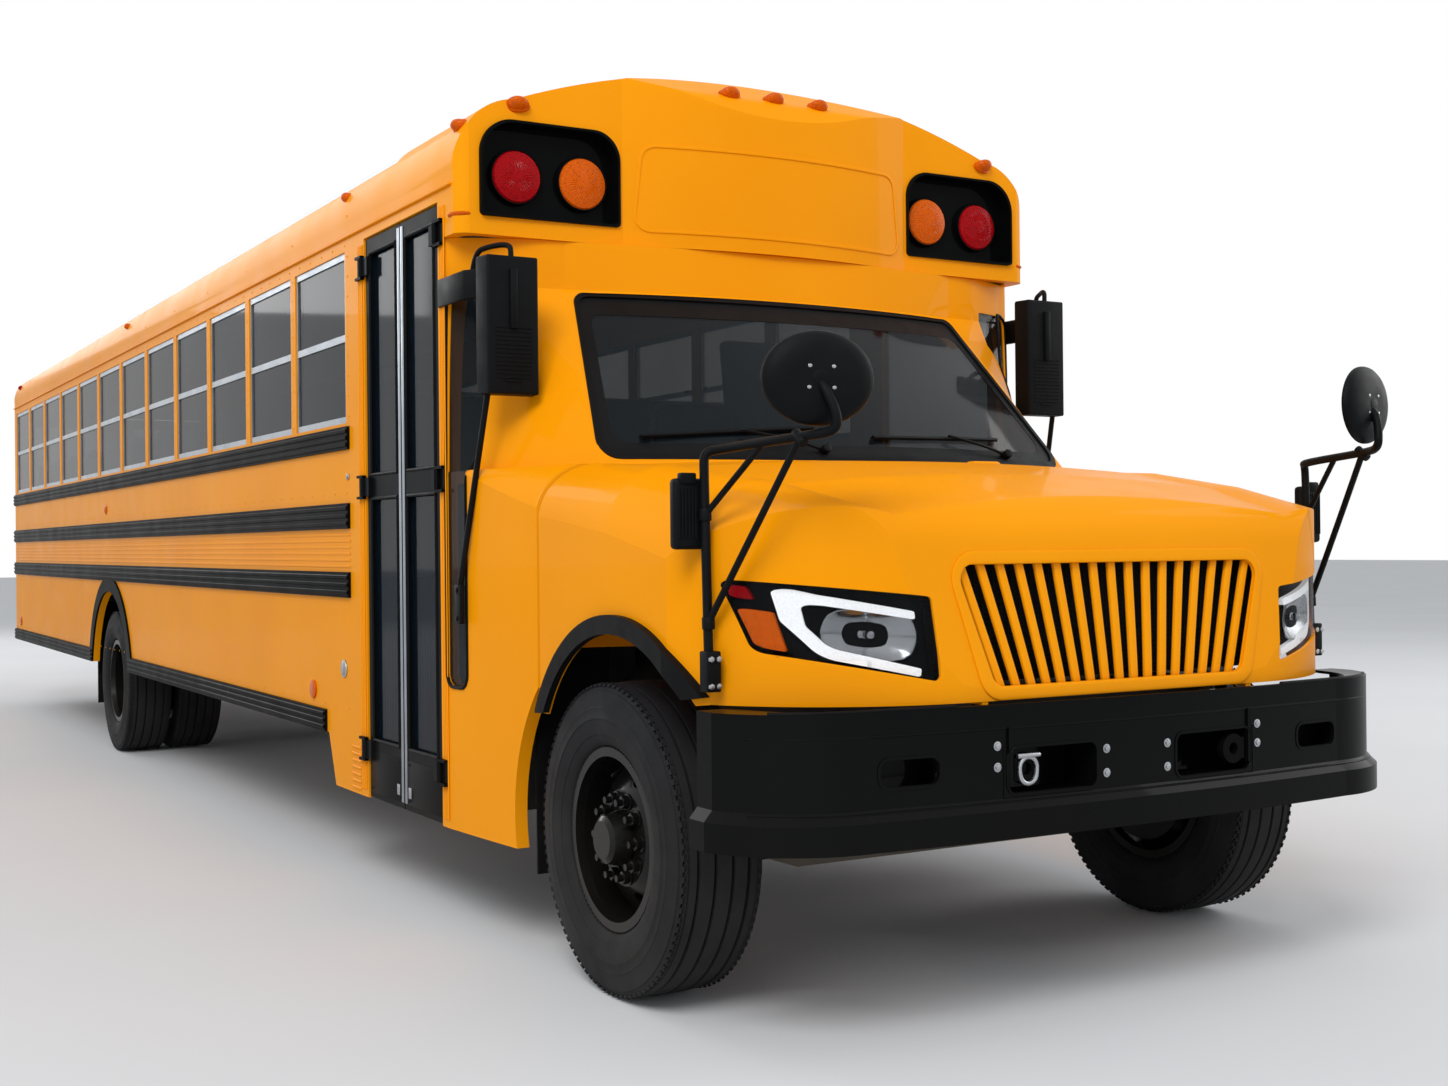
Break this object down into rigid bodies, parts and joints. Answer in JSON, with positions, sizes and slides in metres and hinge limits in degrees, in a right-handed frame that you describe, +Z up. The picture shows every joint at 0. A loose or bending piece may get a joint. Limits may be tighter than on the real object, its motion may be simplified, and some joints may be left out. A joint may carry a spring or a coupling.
{
  "type": "school bus",
  "caption": "Long-nosed school bus with a tilting hood, steered front axle, twin rear wheels, entrance and emergency doors and padded seats.",
  "frame": {"origin": "on the ground under the bus's middle, halfway between bumper faces", "axes": "+X to the bus's left side, -Y forward to the front bumper, +Z up"},
  "size_m": [2.5303, 12.2398, 3.0444],
  "materials": {
    "body_yellow": "gloss",
    "roof_white": "gloss",
    "black_paint": "satin",
    "bumper_black": "gloss",
    "wheel_black": "gloss",
    "steel": "satin",
    "cast_block": "matte",
    "alu": "satin",
    "tyre": "matte",
    "rubber": "matte",
    "floor_grey": "matte",
    "glass": "clear",
    "plastic_black": "satin",
    "dash_grey": "matte",
    "seat_fabric": "matte",
    "seat_vinyl": "satin",
    "amber": "gloss",
    "red": "gloss",
    "lamp_clear": "gloss",
    "sign_red": "gloss"
  },
  "bodies": {
    "body": {"frame_rails": "black_paint", "leaf_springs": "steel", "front_axle": "black_paint", "rear_axle": "black_paint", "driveshaft": "steel", "engine_block": "cast_block", "radiator": "alu", "fuel_tank": "black_paint", "exhaust": "steel", "floor": "floor_grey", "entry_steps": "floor_grey", "side_wall_left": "body_yellow", "side_wall_right": "body_yellow", "roof": "roof_white", "rear_wall": "body_yellow", "cab_shell": "body_yellow", "front_cap": "body_yellow", "cab_glass": "glass", "side_glass": "glass", "window_frames": "alu", "rub_rails": "rubber", "front_bumper": "bumper_black", "front_fittings": "steel", "rear_bumper": "bumper_black", "lamp_trays": "black_paint", "amber_lamps": "amber", "red_lamps": "red", "mud_flaps": "rubber", "side_mirrors": "plastic_black", "dashboard": "dash_grey", "driver_seat": "seat_fabric", "passenger_seats": "seat_vinyl", "seat_legs": "steel", "hinges": "black_paint"},
    "hood": {"hood": "body_yellow", "grille": "body_yellow", "headlamps": "lamp_clear", "front_flares": "rubber", "crossover_mirrors": "plastic_black"},
    "knuckle_left": {"knuckle_left": "steel"},
    "knuckle_right": {"knuckle_right": "steel"},
    "tie_rod": {"tie_rod": "steel"},
    "wheel_front_left": {"front_wheel_left": "wheel_black", "front_tyre_left": "tyre"},
    "wheel_front_right": {"front_wheel_right": "wheel_black", "front_tyre_right": "tyre"},
    "wheel_rear_left": {"rear_wheels_left": "wheel_black", "rear_tyres_left": "tyre"},
    "wheel_rear_right": {"rear_wheels_right": "wheel_black", "rear_tyres_right": "tyre"},
    "steering_wheel": {"steering_wheel": "plastic_black"},
    "door_front_leaf": {"entry_door_front": "black_paint", "entry_glass_front": "glass"},
    "door_rear_leaf": {"entry_door_rear": "black_paint", "entry_glass_rear": "glass"},
    "emergency_door": {"rear_door": "body_yellow", "rear_door_glass": "glass"},
    "hatch_front": {"hatch_front": "roof_white"},
    "hatch_rear": {"hatch_rear": "roof_white"},
    "stop_sign": {"stop_sign": "sign_red"}
  },
  "joints": [
    {"name": "hood_tilt", "type": "hinge", "parent": "body", "child": "hood", "pos_m": [0, -5.995, 0.89], "axis": [1, 0, 0], "range_deg": [0, 60]},
    {"name": "steer_left", "type": "hinge", "parent": "body", "child": "knuckle_left", "pos_m": [0.83, -5.18, 0.4475], "axis": [0, 0, 1], "range_deg": [-45, 45]},
    {"name": "steer_right", "type": "hinge", "parent": "body", "child": "knuckle_right", "pos_m": [-0.83, -5.18, 0.4475], "axis": [0, 0, 1], "range_deg": [-45, 45]},
    {"name": "tie_rod_pivot", "type": "hinge", "parent": "knuckle_left", "child": "tie_rod", "pos_m": [0.83, -4.98, 0.312], "axis": [0, 0, 1], "range_deg": [-45, 45]},
    {"name": "steering_wheel_turn", "type": "hinge", "parent": "body", "child": "steering_wheel", "pos_m": [0.59, -4.15, 1.5], "axis": [0, 0.5299, 0.848], "range_deg": [-720, 720]},
    {"name": "spin_front_left", "type": "hinge", "parent": "knuckle_left", "child": "wheel_front_left", "pos_m": [1.03, -5.18, 0.4475], "axis": [1, 0, 0], "continuous": true},
    {"name": "spin_front_right", "type": "hinge", "parent": "knuckle_right", "child": "wheel_front_right", "pos_m": [-1.03, -5.18, 0.4475], "axis": [1, 0, 0], "continuous": true},
    {"name": "spin_rear_left", "type": "hinge", "parent": "body", "child": "wheel_rear_left", "pos_m": [1.062, 1.83, 0.4475], "axis": [1, 0, 0], "continuous": true},
    {"name": "spin_rear_right", "type": "hinge", "parent": "body", "child": "wheel_rear_right", "pos_m": [-1.062, 1.83, 0.4475], "axis": [1, 0, 0], "continuous": true},
    {"name": "door_front_swing", "type": "hinge", "parent": "body", "child": "door_front_leaf", "pos_m": [-1.232, -4.05, 1.4], "axis": [0, 0, 1], "range_deg": [0, 90]},
    {"name": "door_rear_swing", "type": "hinge", "parent": "body", "child": "door_rear_leaf", "pos_m": [-1.232, -3.27, 1.4], "axis": [0, 0, 1], "range_deg": [-90, 0]},
    {"name": "emergency_door_swing", "type": "hinge", "parent": "body", "child": "emergency_door", "pos_m": [-0.33, 6.022, 1.7], "axis": [0, 0, 1], "range_deg": [0, 110]},
    {"name": "hatch_front_lift", "type": "hinge", "parent": "body", "child": "hatch_front", "pos_m": [0, -1.502, 3.0065], "axis": [1, 0, 0], "range_deg": [0, 90]},
    {"name": "hatch_rear_lift", "type": "hinge", "parent": "body", "child": "hatch_rear", "pos_m": [0, 2.998, 3.0065], "axis": [1, 0, 0], "range_deg": [0, 90]},
    {"name": "stop_sign_swing", "type": "hinge", "parent": "body", "child": "stop_sign", "pos_m": [1.2663, -3.22, 1.56], "axis": [0, 0, -1], "range_deg": [0, 90]}
  ],
  "couplings": [
    {"joint": "steer_right", "follows": "steer_left", "ratio": 1},
    {"joint": "tie_rod_pivot", "follows": "steer_left", "ratio": -1},
    {"joint": "steering_wheel_turn", "follows": "steer_left", "ratio": 16},
    {"joint": "door_rear_swing", "follows": "door_front_swing", "ratio": -1}
  ]
}
